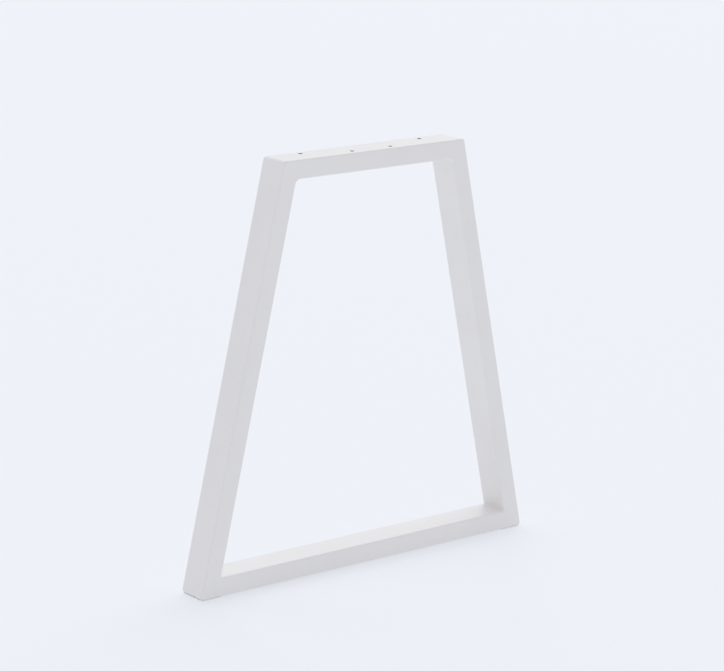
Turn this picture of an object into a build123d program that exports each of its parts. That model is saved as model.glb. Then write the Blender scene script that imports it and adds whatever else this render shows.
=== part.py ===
from build123d import *
import os

# A trapezoid bench leg: a closed frame of four rectangular steel tubes, mitred and welded
# at the corners, standing on two glides. The board is screwed down from below, through
# the top rail. Millimetres, +Z up, X along the rails, front face towards -Y. The origin
# is on the floor, in the middle of the leg's base.

# Frame, measured over the outer corners
frame_height = 440.0
base_width = 432.0
top_width = 236.0

# Tube: width is seen from the front, depth from the side
tube_width = 20.0
tube_depth = 35.0
tube_wall = 1.5
tube_edge_radius = 1.8

# Screw holes in the top rail, staggered front and back, with driver holes below them
screw_hole_diameter = 4.5
driver_hole_diameter = 9.0
inner_hole_spacing = 50.0
outer_hole_to_end = 40.0
hole_to_side = 9.0

# Welds: a seam let into both tubes round each mitre, ground flush outside and round at
# the outer corner, with a bead left in the inner corner
seam_width = 5.0
seam_depth = 1.2
top_ground_radius = 3.6
bottom_ground_radius = 2.5
top_bead_leg = 4.0
bottom_bead_leg = 1.5
bead_hollow = 0.12
bead_root = 3.0
bead_end_radius = 1.2

# Glides under the two ends of the bottom rail
glide_length = 25.0
glide_thickness = 1.0
glide_end_inset = 1.5
glide_side_inset = 1.0
glide_corner_radius = 2.5
glide_edge_chamfer = 0.3

# Outer corners, in the order that the frame is walked round with its inside on the left
frame_base = glide_thickness
frame_top = frame_base + frame_height
corners = {
    "bottom_left": Vector(-base_width / 2, 0, frame_base),
    "bottom_right": Vector(base_width / 2, 0, frame_base),
    "top_right": Vector(top_width / 2, 0, frame_top),
    "top_left": Vector(-top_width / 2, 0, frame_top),
}
members = {
    "bottom_rail": ("bottom_left", "bottom_right"),
    "right_leg": ("bottom_right", "top_right"),
    "top_rail": ("top_right", "top_left"),
    "left_leg": ("top_left", "bottom_left"),
}
bead_legs = {
    "bottom_left": bottom_bead_leg,
    "bottom_right": bottom_bead_leg,
    "top_right": top_bead_leg,
    "top_left": top_bead_leg,
}


def heading(member):
    """Direction of a member, from its first corner to its second."""
    first, second = members[member]
    return (corners[second] - corners[first]).normalized()


def inward(member):
    """Direction from a member's outer face towards the inside of the frame."""
    along = heading(member)
    return Vector(-along.Z, 0, along.X)


def members_at(corner):
    """The member that arrives at a corner and the one that leaves it."""
    arriving = next(name for name, ends in members.items() if ends[1] == corner)
    leaving = next(name for name, ends in members.items() if ends[0] == corner)
    return arriving, leaving


def mitre(corner, offset=0.0):
    """Mitre plane at a corner, facing the member that leaves it, moved along its normal."""
    arriving, leaving = members_at(corner)
    normal = (heading(arriving) + heading(leaving)).normalized()
    return Plane(origin=corners[corner] + normal * offset, x_dir=(0, 1, 0), z_dir=normal)


def section(inset):
    """Outline of the tube, moved in from its outer surface."""
    return RectangleRounded(
        tube_width - 2 * inset,
        tube_depth - 2 * inset,
        tube_edge_radius - inset,
    )


def mitred(member, outline):
    """An outline run along a member and cut at both mitres."""
    first, second = members[member]
    along = heading(member)
    spare = tube_width
    start = corners[first] + inward(member) * (tube_width / 2) - along * spare
    length = (corners[second] - corners[first]).length + 2 * spare
    blank = extrude(Plane(origin=start, x_dir=inward(member), z_dir=along) * outline, length)
    blank = split(blank, bisect_by=mitre(first), keep=Keep.TOP)
    return split(blank, bisect_by=mitre(second), keep=Keep.BOTTOM)


def seam_share(member, corner):
    """The part of a corner's seam that is let into one member."""
    skin = mitred(member, section(0) - section(seam_depth))
    if members[member][0] == corner:
        return split(skin, bisect_by=mitre(corner, seam_width / 2), keep=Keep.BOTTOM)
    return split(skin, bisect_by=mitre(corner, -seam_width / 2), keep=Keep.TOP)


def tube(member):
    """A hollow member, cut back at both ends for the seams."""
    hollow = mitred(member, section(0) - section(tube_wall))
    for corner in members[member]:
        hollow -= seam_share(member, corner)
    return hollow


def inner_corner(corner):
    """Where the inner faces of the two members meet."""
    arriving, leaving = members_at(corner)
    bisector = (heading(leaving) - heading(arriving)).normalized()
    reach = tube_width / bisector.dot(inward(leaving))
    return corners[corner] + bisector * reach, bisector


def bead(corner):
    """Weld bead along the inner corner, from the front of the tube to the back."""
    arriving, leaving = members_at(corner)
    root, bisector = inner_corner(corner)
    leg = bead_legs[corner]
    toe_a = root - heading(arriving) * leg
    toe_b = root + heading(leaving) * leg
    middle = (toe_a + toe_b) * 0.5 - bisector * bead_hollow * leg
    face = ThreePointArc(toe_a, middle, toe_b)
    sides = Polyline(toe_b, root - bisector * bead_root, toe_a)
    outline = make_face(face + sides)
    prism = extrude(outline, tube_depth / 2, dir=(0, 1, 0), both=True)
    ends = prism.edges().filter_by(GeomType.CIRCLE)
    prism = fillet(ends, bead_end_radius)
    return prism - mitred(arriving, section(0)) - mitred(leaving, section(0))


def ground_outline():
    """The whole frame's outline with its four outer corners ground round."""
    outline = Plane.XZ * Polygon(*[(c.X, c.Z) for c in corners.values()], align=None)
    outline = fillet(outline.vertices().group_by(Axis.Z)[0], bottom_ground_radius)
    outline = fillet(outline.vertices().group_by(Axis.Z)[-1], top_ground_radius)
    return extrude(outline, tube_depth, both=True)


def weld(corner):
    """Seam round the mitre and bead in the inner corner, as one piece of weld metal."""
    arriving, leaving = members_at(corner)
    seam = seam_share(arriving, corner) + seam_share(leaving, corner)
    return (seam & ground_outline()) + bead(corner)


def top_rail():
    """Top tube with its screw holes above and its driver holes below."""
    outer_x = top_width / 2 - outer_hole_to_end
    inner_x = inner_hole_spacing / 2
    row_y = tube_depth / 2 - hole_to_side
    places = [(-outer_x, row_y), (-inner_x, -row_y), (inner_x, -row_y), (outer_x, row_y)]
    middle_z = frame_top - tube_width / 2
    rail = tube("top_rail")
    for x, y in places:
        rail -= Pos(x, y, frame_top) * Cylinder(screw_hole_diameter / 2, tube_width)
        below = Cylinder(driver_hole_diameter / 2, tube_width, align=(Align.CENTER, Align.CENTER, Align.MAX))
        rail -= Pos(x, y, middle_z) * below
    return rail


def glide(side):
    """Flat pad under one end of the bottom rail; side is -1 on the left and 1 on the right."""
    depth = tube_depth - 2 * glide_side_inset
    middle_x = side * (base_width / 2 - glide_end_inset - glide_length / 2)
    outline = RectangleRounded(glide_length, depth, glide_corner_radius)
    pad = extrude(outline, glide_thickness)
    pad = chamfer(pad.faces().sort_by(Axis.Z)[0].edges(), glide_edge_chamfer)
    return Pos(middle_x, 0, 0) * pad


pieces = {
    "top_rail": top_rail(),
    "bottom_rail": tube("bottom_rail"),
    "left_leg": tube("left_leg"),
    "right_leg": tube("right_leg"),
    "left_glide": glide(-1),
    "right_glide": glide(1),
}
for corner in corners:
    pieces[corner + "_weld"] = weld(corner)

os.makedirs("parts", exist_ok=True)
for name, piece in pieces.items():
    export_step(piece, "parts/" + name + ".step")
    print(name, len(piece.solids()), "solid,", round(piece.volume, 1), "cubic mm")
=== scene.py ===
"""Finish, light and camera for a trapezoid bench leg of welded, powder coated steel tube."""

import logging
import math
from dataclasses import dataclass, field
from enum import Enum
from typing import Any

import bmesh
import bpy
from mathutils import Matrix, Vector, noise


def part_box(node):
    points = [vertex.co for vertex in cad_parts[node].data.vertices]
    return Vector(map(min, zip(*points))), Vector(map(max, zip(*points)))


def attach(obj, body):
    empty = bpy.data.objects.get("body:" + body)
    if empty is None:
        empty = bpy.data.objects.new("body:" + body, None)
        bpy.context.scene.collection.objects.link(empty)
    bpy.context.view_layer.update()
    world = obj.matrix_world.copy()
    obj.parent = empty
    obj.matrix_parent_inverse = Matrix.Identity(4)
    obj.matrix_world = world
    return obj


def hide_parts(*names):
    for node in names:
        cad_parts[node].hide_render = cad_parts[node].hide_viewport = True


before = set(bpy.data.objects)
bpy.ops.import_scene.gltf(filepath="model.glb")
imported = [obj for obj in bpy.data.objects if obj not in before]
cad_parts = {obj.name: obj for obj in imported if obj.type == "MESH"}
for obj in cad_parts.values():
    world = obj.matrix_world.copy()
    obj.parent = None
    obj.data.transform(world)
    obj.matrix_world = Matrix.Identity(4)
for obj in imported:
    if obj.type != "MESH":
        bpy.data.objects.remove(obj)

MM = 0.001
BODY = "root"
LEAST_TURN = 1e-6
MIX_FIRST_COLOUR, MIX_SECOND_COLOUR, MIX_COLOUR = 6, 7, 2

Colour = tuple[float, float, float]
Span = tuple[float, float]

log = logging.getLogger("bench_leg")


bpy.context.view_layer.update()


class Socket:
    """An output of a shader node, or what Python arithmetic makes of it."""

    def __init__(self, graph: "Graph", output: bpy.types.NodeSocket) -> None:
        """Keeps the output and the graph that it belongs to."""
        self.graph = graph
        self.output = output

    def math(self, operation: str, first: Any, second: Any = None) -> "Socket":
        """The result of a Math node on one or two values or sockets."""
        values = {0: first} if second is None else {0: first, 1: second}
        return self.graph.add("ShaderNodeMath", {"operation": operation}, values)

    def __add__(self, other: Any) -> "Socket":
        """This plus other."""
        return self.math("ADD", self, other)

    def __radd__(self, other: Any) -> "Socket":
        """Other plus this."""
        return self.math("ADD", other, self)

    def __sub__(self, other: Any) -> "Socket":
        """This less other."""
        return self.math("SUBTRACT", self, other)

    def __rsub__(self, other: Any) -> "Socket":
        """Other less this."""
        return self.math("SUBTRACT", other, self)

    def __mul__(self, other: Any) -> "Socket":
        """This times other."""
        return self.math("MULTIPLY", self, other)

    def __rmul__(self, other: Any) -> "Socket":
        """Other times this."""
        return self.math("MULTIPLY", other, self)

    def above(self, low: float, high: float) -> "Socket":
        """A soft step: 0 under low, 1 over high.

        Args:
            low: Value at which the step starts.
            high: Value at which it ends.

        Returns:
            The step's mask.
        """
        settings = {"interpolation_type": "SMOOTHSTEP"}
        values = {"Value": self, "From Min": low, "From Max": high}
        return self.graph.add("ShaderNodeMapRange", settings, values)


@dataclass(frozen=True)
class Pattern:
    """Three-dimensional noise: its cells to the metre and its octaves."""

    cells: float
    detail: float


class Graph:
    """The node tree of one material, to which a finish adds its nodes."""

    def __init__(self, name: str) -> None:
        """Starts an empty material.

        Args:
            name: The material's name.
        """
        self.material = bpy.data.materials.new(name)
        self.material.use_nodes = True
        self.tree = self.material.node_tree
        self.tree.nodes.clear()

    def node(self, kind: str, settings: dict[str, Any] | None = None,
             inputs: dict[Any, Any] | None = None) -> bpy.types.Node:
        """Adds a node of any kind.

        Args:
            kind: The node's type.
            settings: Its properties, which are set first.
            inputs: A value or a link for each input, by name or number.

        Returns:
            The node.
        """
        node = self.tree.nodes.new(kind)
        for key, value in (settings or {}).items():
            setattr(node, key, value)
        for key, value in (inputs or {}).items():
            if isinstance(value, Socket):
                self.tree.links.new(value.output, node.inputs[key])
            else:
                node.inputs[key].default_value = value
        return node

    def add(self, kind: str, settings: dict[str, Any] | None = None,
            inputs: dict[Any, Any] | None = None, output: Any = 0) -> Socket:
        """Adds a node of any kind, as node() does, and gives one output by name or number."""
        return Socket(self, self.node(kind, settings, inputs).outputs[output])

    def place(self) -> Socket:
        """Position on the piece, in metres, which is the leg's own frame."""
        return self.add("ShaderNodeTexCoord", output="Object")

    def noise(self, pattern: Pattern) -> Socket:
        """A pattern's noise over the piece, about 0.5."""
        inputs = {"Vector": self.place(), "Scale": pattern.cells, "Detail": pattern.detail}
        return self.add("ShaderNodeTexNoise", {"noise_dimensions": "3D"}, inputs)

    def mix(self, mask: Socket, low: Any, high: Any) -> Socket:
        """Mixes two colours.

        Args:
            mask: 0 for the low colour and 1 for the high one.
            low: A colour's socket, or linear red, green and blue.
            high: A colour's socket, or linear red, green and blue.

        Returns:
            The mixed colour.
        """
        first, second = (c if isinstance(c, Socket) else (*c, 1.0) for c in (low, high))
        inputs = {"Factor": mask, MIX_FIRST_COLOUR: first, MIX_SECOND_COLOUR: second}
        return self.add("ShaderNodeMix", {"data_type": "RGBA"}, inputs, MIX_COLOUR)

    def drift(self, clouds: Socket, span: Span, colour: Colour, shades: Span) -> Socket:
        """A colour times one shade or the other, as clouds rise from a span's start to its end."""
        low, high = (tuple(c * shade for c in colour) for shade in shades)
        return self.mix(clouds.above(*span), low, high)

    def bump(self, height: Socket, strength: float, distance: float) -> Socket:
        """Normals of a height from 0 to 1, where 1 stands for a distance in metres."""
        inputs = {"Height": height, "Strength": strength, "Distance": distance}
        return self.add("ShaderNodeBump", None, inputs)

    def finish(self, inputs: dict[str, Any]) -> bpy.types.Material:
        """Ends the material with its surface shader and its output.

        Args:
            inputs: Values and links of the shader's sockets.

        Returns:
            The material.
        """
        surface = self.add("ShaderNodeBsdfPrincipled", None, inputs)
        self.node("ShaderNodeOutputMaterial", None, {"Surface": surface})
        return self.material


class Coverage(Enum):
    """How far the powder coat reaches on a piece."""

    ALL_OVER = "all over"
    # Outside only: the inside is painted near black as shade.
    OUTSIDE_ONLY_SHADED_INSIDE = "outside only"


@dataclass(frozen=True)
class PowderCoat:
    """Satin powder coat in a very light grey, on steel that stays bare inside an open tube, where
    a near-black colour is painted shade.

    Both roughnesses are the least ones, to which the clouds and the grain add theirs.
    """

    coverage: Coverage
    grey: Colour = (0.860, 0.842, 0.832)
    clouds: Pattern = Pattern(14.0, 3.0)
    cloud_span: Span = (0.3, 0.7)
    cloud_shades: Span = (0.99, 1.01)
    cloud_roughness: float = 0.06
    grain: Pattern = Pattern(2600.0, 1.0)
    grain_roughness: float = 0.05
    peel: Pattern = Pattern(420.0, 1.5)
    peel_share: float = 0.75
    peel_height: float = 0.11 * MM
    bump_strength: float = 0.5
    roughness: float = 0.35
    # Bare steel and mill scale in near black: painted shade for the depth of the holes and the
    # tube's inside.
    steel_painted_shade: Colour = (0.030, 0.029, 0.029)
    steel_roughness: float = 0.50
    steel_metallic: float = 0.5
    scale: Pattern = Pattern(180.0, 3.0)
    scale_span: Span = (0.42, 0.60)
    scale_and_shade_tint: Colour = (0.022, 0.020, 0.021)
    face_margin: float = 0.10 * MM
    edge_margin: float = 1.45 * MM
    fade: float = 0.025 * MM

    def material(self) -> bpy.types.Material:
        """Builds the coat.

        Returns:
            Its material.
        """
        graph = Graph("powder_coat_" + self.coverage.name.lower())
        clouds = graph.noise(self.clouds)
        grain = graph.noise(self.grain)
        height = graph.noise(self.peel) * self.peel_share + grain * (1.0 - self.peel_share)
        roughness = self.roughness + clouds * self.cloud_roughness + grain * self.grain_roughness
        inputs = {
            "Base Color": graph.drift(clouds, self.cloud_span, self.grey, self.cloud_shades),
            "Roughness": roughness,
            "Normal": graph.bump(height, self.bump_strength, self.peel_height),
        }
        if self.coverage is Coverage.OUTSIDE_ONLY_SHADED_INSIDE:
            self.shade_bare_inside(graph, inputs)
        return graph.finish(inputs)

    def shade_bare_inside(self, graph: Graph, inputs: dict[str, Socket]) -> None:
        """Leaves the steel bare in the top rail's holes and on its inner walls, coloured near
        black as painted shade.

        Args:
            graph: The coat's nodes.
            inputs: The surface's inputs, which are changed.
        """
        low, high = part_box("top_rail")
        between_sides = self.within(graph, "Y", low[1], high[1], self.edge_margin)
        bare_and_shaded = between_sides * self.within(graph, "Z", low[2], high[2], self.face_margin)
        # Painted shade: near-black bare steel, with random mill scale, where the coat is masked
        # out.
        mill_scale = graph.noise(self.scale).above(*self.scale_span)
        steel_painted_shade = graph.mix(mill_scale, self.steel_painted_shade, self.scale_and_shade_tint)
        inputs["Base Color"] = graph.mix(bare_and_shaded, inputs["Base Color"], steel_painted_shade)
        inputs["Roughness"] = inputs["Roughness"] + bare_and_shaded * (self.steel_roughness - self.roughness)
        inputs["Metallic"] = bare_and_shaded * self.steel_metallic

    def within(self, graph: Graph, axis: str, low: float, high: float, margin: float) -> Socket:
        """Masks what lies between two outer faces, deeper than a margin.

        Args:
            graph: The coat's nodes.
            axis: The axis across the faces.
            low: The lower face.
            high: The upper face.
            margin: The depth under the faces at which the coat fades out and the painted shade
                begins.

        Returns:
            The mask.
        """
        where = graph.add("ShaderNodeSeparateXYZ", None, {"Vector": graph.place()}, axis)
        first, last = margin - self.fade, margin + self.fade
        past_low = where.above(low + first, low + last)
        past_high = where.above(high - last, high - first)
        return past_low * (1.0 - past_high)


@dataclass(frozen=True)
class GlidePlastic:
    """Matt moulded plastic with a fine spark-eroded grain, which adds to its roughness."""

    grey: Colour = (0.84, 0.84, 0.85)
    clouds: Pattern = Pattern(60.0, 2.0)
    cloud_span: Span = (0.3, 0.7)
    cloud_shades: Span = (0.96, 1.03)
    grain: Pattern = Pattern(1900.0, 2.0)
    grain_roughness: float = 0.1
    grain_height: float = 0.04 * MM
    bump_strength: float = 0.6
    roughness: float = 0.62

    def material(self) -> bpy.types.Material:
        """Builds the plastic.

        Returns:
            Its material.
        """
        graph = Graph("glide_plastic")
        grain = graph.noise(self.grain)
        clouds = graph.noise(self.clouds)
        return graph.finish({
            "Base Color": graph.drift(clouds, self.cloud_span, self.grey, self.cloud_shades),
            "Roughness": self.roughness + grain * self.grain_roughness,
            "Normal": graph.bump(grain, self.bump_strength, self.grain_height),
        })


@dataclass(frozen=True)
class Tube:
    """Rectangular steel tube: width is seen from the front and depth from the side."""

    width: float = 20.0 * MM
    depth: float = 35.0 * MM
    edge_radius: float = 1.8 * MM


@dataclass(frozen=True)
class SkinPoint:
    """A point on the tube's outline: in from its outer face, back from its middle."""

    inset: float
    across: float
    out: tuple[float, float]

    def under(self, depth: float) -> "SkinPoint":
        """The point that lies straight under this one, at a depth."""
        inset, across = self.inset - self.out[0] * depth, self.across - self.out[1] * depth
        return SkinPoint(inset, across, self.out)


@dataclass(frozen=True)
class CornerForm:
    """The sizes that differ from weld to weld; a bulge under zero is a hollow."""

    ground_radius: float
    bead_leg: float
    bead_bulge: float
    ripple_height: float


class CornerShape(Enum):
    """How each corner came out: the top ones have the larger bead, and the left one is rounder."""

    TOP_LEFT = CornerForm(3.9 * MM, 3.0 * MM, bead_bulge=0.22 * MM, ripple_height=0.15 * MM)
    TOP_RIGHT = CornerForm(2.9 * MM, 2.9 * MM, bead_bulge=0.20 * MM, ripple_height=0.15 * MM)
    BOTTOM = CornerForm(2.5 * MM, 0.85 * MM, bead_bulge=-0.08 * MM, ripple_height=0.0)


@dataclass
class CornerWeld:
    """A mitred corner: the weld is ground flush outside and left as a bead in the inner corner."""

    name: str
    outer: Vector
    before: Vector
    after: Vector
    form: CornerForm
    tube: Tube
    seam_width: float = 5.0 * MM
    seam_depth: float = 1.2 * MM
    least_radius: float = 0.3 * MM
    wave_depth: float = 0.05 * MM
    wave_mean: float = 0.5
    wave_cells: float = 240.0
    wave_margin: float = 1.2 * MM
    ripple_pitch: float = 1.9 * MM
    ripple_sweep: float = 110.0
    ripple_crest: float = 0.7
    ripple_margin: float = 0.5
    ripple_fade: int = 4
    wander: float = 0.05
    wander_cells: float = 170.0
    leg_steps: int = 4
    arc_steps: int = 20
    edge_steps: int = 6
    face_steps: int = 12
    bead_steps: int = 150
    sharp_angle: float = 50.0

    def __post_init__(self) -> None:
        """Works out the directions of the mitre and the sine and cosine of half its angle."""
        self.arriving = (self.outer - self.before).normalized()
        self.leaving = (self.after - self.outer).normalized()
        self.bisector = (self.leaving - self.arriving).normalized()
        self.normal = (self.leaving + self.arriving).normalized()
        self.sine = self.normal.dot(self.leaving)
        self.cosine = self.bisector.dot(self.leaving)
        self.reach = self.seam_width / 2 / self.sine

    def build(self, coat: bpy.types.Material) -> bpy.types.Object:
        """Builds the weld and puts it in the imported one's place.

        Args:
            coat: The coat's material.

        Returns:
            The weld.
        """
        rings = [self.ring(point) for point in self.outline()]
        mesh = ring_mesh(self.name + "_ground", rings, self.sharp_angle)
        piece = bpy.data.objects.new(mesh.name, mesh)
        bpy.context.scene.collection.objects.link(piece)
        cover(piece, coat)
        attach(piece, BODY)
        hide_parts(self.name)
        return piece

    def outline(self) -> list[SkinPoint]:
        """Walks once round the tube's outline, closely along the bead and loosely elsewhere.

        Returns:
            The outline's points.
        """
        radius = self.tube.edge_radius
        wide, deep = self.tube.width / 2, self.tube.depth / 2
        flat_wide, flat_deep = wide - radius, deep - radius
        sides = (
            (Vector((wide, flat_deep)), Vector((wide, -flat_deep)), self.bead_steps),
            (Vector((flat_wide, -deep)), Vector((-flat_wide, -deep)), self.face_steps),
            (Vector((-wide, -flat_deep)), Vector((-wide, flat_deep)), self.face_steps),
            (Vector((-flat_wide, deep)), Vector((flat_wide, deep)), self.face_steps),
        )
        points = []
        for number, (start, end, steps) in enumerate(sides):
            turns = [-(number + k / self.edge_steps) * math.pi / 2 for k in range(self.edge_steps)]
            outs = [Vector((math.cos(a), math.sin(a))) for a in turns]
            places = [(start.lerp(end, k / steps), outs[0]) for k in range(steps)]
            places += [(end + (out - outs[0]) * radius, out) for out in outs]
            points += [SkinPoint(place.x + wide, place.y, tuple(out)) for place, out in places]
        return points

    def ring(self, point: SkinPoint) -> list[Vector]:
        """Crosses the weld at one point of the outline, over its skin and back along its root.

        Args:
            point: The point on the outline.

        Returns:
            The closed line's points.
        """
        skin, worn = self.crossing(point), self.crossing(point.under(self.wave_depth))
        line = [place.lerp(low, self.wave(place, point)) for place, low in zip(skin, worn)]
        for k in range(self.arc_steps + 1):
            side = 2.0 * k / self.arc_steps - 1.0
            line[self.leg_steps + k] += self.bisector * self.ripple(point, side)
        root = self.mitred(point.under(self.seam_depth))
        return line + [root + self.leaving * self.reach, root, root - self.arriving * self.reach]

    def mitred(self, point: SkinPoint) -> Vector:
        """Where a line along both tubes would meet in the mitre."""
        inwards = self.bisector * (point.inset / self.sine)
        return self.outer + inwards + Vector((0.0, point.across, 0.0))

    def crossing(self, point: SkinPoint) -> list[Vector]:
        """Runs over the mitre: straight along one tube to a toe, over an arc and straight on.

        Args:
            point: The point on the outline.

        Returns:
            The line's points.
        """
        toe, sag = self.arc(point)
        corner = self.mitred(point)
        first, last = corner - self.arriving * toe, corner + self.leaving * toe
        start, end = corner - self.arriving * self.reach, corner + self.leaving * self.reach
        middle, half_chord = (first + last) / 2, (last - first).length / 2
        turn = 2.0 * math.atan2(sag, half_chord) or LEAST_TURN
        radius = half_chord / math.sin(turn)
        line = [start.lerp(first, k / self.leg_steps) for k in range(self.leg_steps)]
        for k in range(self.arc_steps + 1):
            angle = (2.0 * k / self.arc_steps - 1.0) * turn
            rise = radius * (math.cos(angle) - math.cos(turn))
            line.append(middle + self.normal * (radius * math.sin(angle)) - self.bisector * rise)
        return line + [last.lerp(end, (k + 1) / self.leg_steps) for k in range(self.leg_steps)]

    def arc(self, point: SkinPoint) -> tuple[float, float]:
        """The arc over the mitre: ground round on the outside, a bead on the inside.

        Args:
            point: The point on the outline.

        Returns:
            The distance from the mitre to the arc's toes, and its rise towards the outside.
        """
        radius = max(self.form.ground_radius - point.inset, self.least_radius)
        unevenness = noise.noise(Vector((0.0, point.across, self.outer.x)) * self.wander_cells)
        leg = self.form.bead_leg * (1.0 + self.wander * unevenness)
        share = self.bead_share(point)
        toe = radius * self.cosine / self.sine * (1.0 - share) + leg * share
        rise = radius * (1.0 - self.sine) * (1.0 - share) - self.form.bead_bulge * share
        return toe, rise

    def bead_share(self, point: SkinPoint) -> float:
        """How much of the bead a point has: none at the outer face and all at the inner one."""
        low, high = self.form.ground_radius, self.tube.width - self.tube.edge_radius
        return min(max((point.inset - low) / (high - low), 0.0), 1.0)

    def wave(self, place: Vector, point: SkinPoint) -> float:
        """How far grinding has worn the skin at one place.

        Args:
            place: The place.
            point: Its point on the outline.

        Returns:
            A share of the greatest wear.
        """
        along = abs((place - self.outer).dot(self.normal))
        margin = (self.seam_width / 2 - along) / self.wave_margin
        dip = self.wave_mean + noise.noise(place * self.wave_cells)
        return min(max(dip, 0.0), 1.0) * smooth(margin) * (1.0 - self.bead_share(point))

    def ripple(self, point: SkinPoint, side: float) -> float:
        """Height of the bead's ripples, which bow along the run and fade out at its edges.

        Args:
            point: The point on the outline.
            side: From -1 at one toe to 1 at the other.

        Returns:
            The height.
        """
        end = self.tube.depth / 2 - abs(point.across)
        offset = side * self.form.bead_leg * self.sine
        run = point.across + self.ripple_sweep * offset * offset
        scale = abs(math.sin(math.pi * run / self.ripple_pitch)) ** self.ripple_crest
        window = (1.0 - side * side) * smooth(end / self.tube.edge_radius - self.ripple_margin)
        share = self.bead_share(point) ** self.ripple_fade
        return self.form.ripple_height * scale * window * share


def smooth(value: float) -> float:
    """A soft step from 0 to 1."""
    value = min(max(value, 0.0), 1.0)
    return value * value * (3.0 - 2.0 * value)


def ring_mesh(name: str, rings: list[list[Vector]], sharp_angle: float) -> bpy.types.Mesh:
    """Joins closed lines into one closed ring of faces.

    Args:
        name: The mesh's name.
        rings: The closed lines, in order round the ring, each with as many points.
        sharp_angle: Degrees from which an edge stays sharp.

    Returns:
        The mesh.
    """
    count, length = len(rings), len(rings[0])
    faces = []
    for i in range(count):
        here, there = i * length, (i + 1) % count * length
        for k in range(length):
            after = (k + 1) % length
            faces.append((here + k, here + after, there + after, there + k))
    mesh = bpy.data.meshes.new(name)
    mesh.from_pydata([place for ring in rings for place in ring], [], faces)
    build = bmesh.new()
    build.from_mesh(mesh)
    bmesh.ops.recalc_face_normals(build, faces=build.faces)
    build.to_mesh(mesh)
    build.free()
    mesh.shade_smooth()
    mesh.set_sharp_from_angle(angle=math.radians(sharp_angle))
    return mesh


def cover(piece: bpy.types.Object, material: bpy.types.Material) -> bpy.types.Object:
    """Puts one material over a whole piece.

    Args:
        piece: The piece.
        material: Its material.

    Returns:
        The piece.
    """
    if not piece.material_slots:
        piece.data.materials.append(material)
    for slot in piece.material_slots:
        slot.material = material
    return piece


@dataclass
class TubeFrame:
    """Four mitred tubes, which are shown as they are packed, and the welds at their corners."""

    height: float = 440.0 * MM
    base_width: float = 432.0 * MM
    top_width: float = 236.0 * MM
    clearance: float = 1.0 * MM
    tube: Tube = Tube()
    pierced_member: str = "top_rail"
    closed_members: tuple[str, ...] = ("bottom_rail", "left_leg", "right_leg")
    shapes: dict[str, CornerShape] = field(default_factory=lambda: {
        "top_left": CornerShape.TOP_LEFT,
        "top_right": CornerShape.TOP_RIGHT,
    })

    def corners(self) -> dict[str, Vector]:
        """The outer corners, in order round the frame.

        Returns:
            Each corner's place by its name.
        """
        low, high = self.clearance, self.clearance + self.height
        return {
            "bottom_left": Vector((-self.base_width / 2, 0.0, low)),
            "bottom_right": Vector((self.base_width / 2, 0.0, low)),
            "top_right": Vector((self.top_width / 2, 0.0, high)),
            "top_left": Vector((-self.top_width / 2, 0.0, high)),
        }

    def dress(self, coat: bpy.types.Material,
              pierced_coat: bpy.types.Material) -> list[bpy.types.Object]:
        """Coats the closed tubes and the one with the screw holes, with shade painted into its
        holes, and returns them all.
        """
        pierced = cover(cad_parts[self.pierced_member], pierced_coat)
        return [pierced] + [cover(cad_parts[name], coat) for name in self.closed_members]

    def weld(self, coat: bpy.types.Material) -> list[bpy.types.Object]:
        """Welds every corner.

        Args:
            coat: The coat's material.

        Returns:
            The welds.
        """
        corners = self.corners()
        names, places = list(corners), list(corners.values())
        welds = []
        for number, name in enumerate(names):
            before, after = places[number - 1], places[(number + 1) % len(places)]
            form = self.shapes.get(name, CornerShape.BOTTOM).value
            weld = CornerWeld(name + "_weld", places[number], before, after, form, self.tube)
            welds.append(weld.build(coat))
        return welds


@dataclass
class Glides:
    """The two flat pads under the bottom rail, which are shown as they are packed."""

    names: tuple[str, ...] = ("left_glide", "right_glide")

    def dress(self, plastic: bpy.types.Material) -> list[bpy.types.Object]:
        """Gives both pads their plastic and returns them."""
        return [cover(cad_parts[name], plastic) for name in self.names]


def direction(azimuth: float, elevation: float) -> Vector:
    """The direction from the leg towards something that stands round it.

    Args:
        azimuth: Degrees round from the front, to the right.
        elevation: Degrees above the floor.

    Returns:
        A unit vector.
    """
    turn, lift = math.radians(azimuth), math.radians(elevation)
    level = math.cos(lift)
    return Vector((math.sin(turn) * level, -math.cos(turn) * level, math.sin(lift)))


@dataclass(frozen=True)
class WideLight:
    """Soft light that comes from a wide part of the room."""

    name: str
    azimuth: float
    elevation: float
    spread: float
    strength: float

    def build(self) -> None:
        """Hangs the light."""
        data = bpy.data.lights.new(self.name, "SUN")
        data.energy = self.strength
        data.angle = math.radians(self.spread)
        lamp = bpy.data.objects.new(self.name, data)
        towards = -direction(self.azimuth, self.elevation)
        lamp.rotation_euler = towards.to_track_quat("-Z", "Y").to_euler()
        bpy.context.scene.collection.objects.link(lamp)


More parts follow.
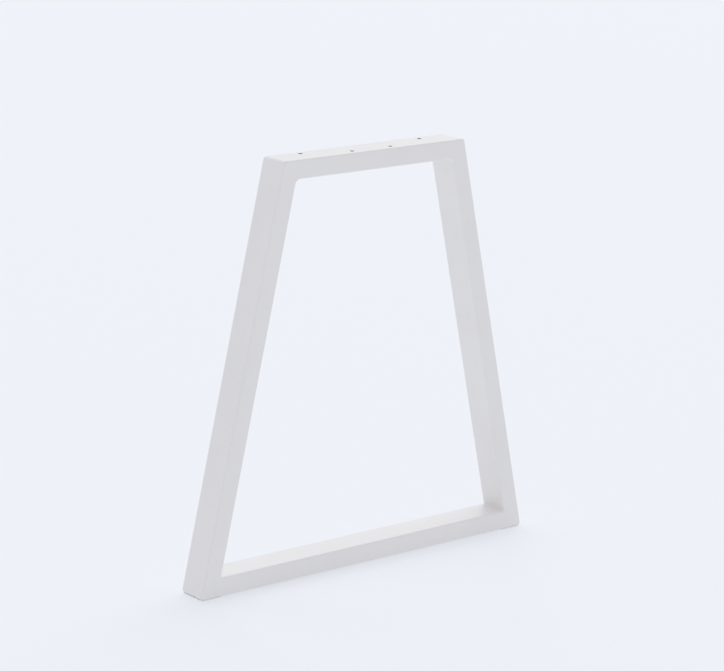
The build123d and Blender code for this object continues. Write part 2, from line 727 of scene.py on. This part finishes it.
@dataclass
class Stage:
    """A plain pale floor that glows a little, as a light table does, in a bright room."""

    floor_radius: float = 40.0
    floor_colour: Colour = (0.568, 0.582, 0.602)
    floor_roughness: float = 0.9
    floor_shine: float = 0.2
    glow_colour: Colour = (0.968, 1.0, 1.06)
    glow_strength: float = 0.366
    room_colour: Colour = (0.975, 0.985, 1.03)
    room_strength: float = 0.70
    lamps: tuple[WideLight, ...] = (
        WideLight("back_right_wall", azimuth=120.0, elevation=35.0, spread=60.0, strength=0.62),
        WideLight("back_wall", azimuth=180.0, elevation=35.0, spread=60.0, strength=0.36),
    )

    def build(self) -> None:
        """Builds the floor, the room and its lights."""
        self.floor()
        self.room()
        for lamp in self.lamps:
            lamp.build()

    def floor(self) -> None:
        """Lays the floor."""
        corners = [(-1, -1, 0), (1, -1, 0), (1, 1, 0), (-1, 1, 0)]
        mesh = bpy.data.meshes.new("studio_floor")
        mesh.from_pydata([Vector(c) * self.floor_radius for c in corners], [], [(0, 1, 2, 3)])
        floor = bpy.data.objects.new("studio_floor", mesh)
        bpy.context.scene.collection.objects.link(floor)
        graph = Graph("studio_floor")
        cover(floor, graph.finish({
            "Base Color": (*self.floor_colour, 1.0),
            "Roughness": self.floor_roughness,
            "Specular IOR Level": self.floor_shine,
            "Emission Color": (*self.glow_colour, 1.0),
            "Emission Strength": self.glow_strength,
        }))

    def room(self) -> None:
        """Lights the room evenly from all sides."""
        world = bpy.data.worlds.new("bright_room")
        world.use_nodes = True
        background = world.node_tree.nodes["Background"]
        background.inputs["Color"].default_value = (*self.room_colour, 1.0)
        background.inputs["Strength"].default_value = self.room_strength
        bpy.context.scene.world = world


@dataclass
class PhotoCamera:
    """The photograph's camera: a long lens in front, to the left and a little above."""

    azimuth: float = -39.112
    elevation: float = 14.186
    roll: float = 1.170
    distance: float = 2.95
    aim: tuple[float, float, float] = (-0.0089, -0.0107, 0.2463)
    lens: float = 142.05
    sensor: float = 36.0

    def build(self) -> None:
        """Sets the camera up."""
        turn, tilt = math.radians(self.azimuth), math.radians(self.roll)
        back = direction(self.azimuth, self.elevation)
        level = Vector((math.cos(turn), math.sin(turn), 0.0))
        upright = back.cross(level)
        right = level * math.cos(tilt) + upright * math.sin(tilt)
        up = upright * math.cos(tilt) - level * math.sin(tilt)
        data = bpy.data.cameras.new("photo_camera")
        data.lens = self.lens
        data.sensor_width = self.sensor
        camera = bpy.data.objects.new("photo_camera", data)
        place = Matrix.Translation(Vector(self.aim) + back * self.distance)
        camera.matrix_world = place @ Matrix((right, up, back)).transposed().to_4x4()
        bpy.context.scene.collection.objects.link(camera)
        bpy.context.scene.camera = camera


def main() -> None:
    """Builds the leg's finish and reports its pieces, then builds the studio round it."""
    logging.basicConfig(level=logging.INFO, format="%(name)s: %(message)s")
    coat = PowderCoat(Coverage.ALL_OVER).material()
    # This coat paints shade in near black into the top rail's holes and inside.
    pierced_coat = PowderCoat(Coverage.OUTSIDE_ONLY_SHADED_INSIDE).material()
    tubes = TubeFrame()
    pieces = tubes.dress(coat, pierced_coat) + tubes.weld(coat)
    pieces += Glides().dress(GlidePlastic().material())
    for piece in pieces:
        finish, count = piece.active_material.name, len(piece.data.polygons)
        log.info("%s has %d faces in %s", piece.name, count, finish)
    Stage().build()
    PhotoCamera().build()
    bpy.context.scene.view_settings.view_transform = "Standard"


if __name__ == "__main__":
    main()
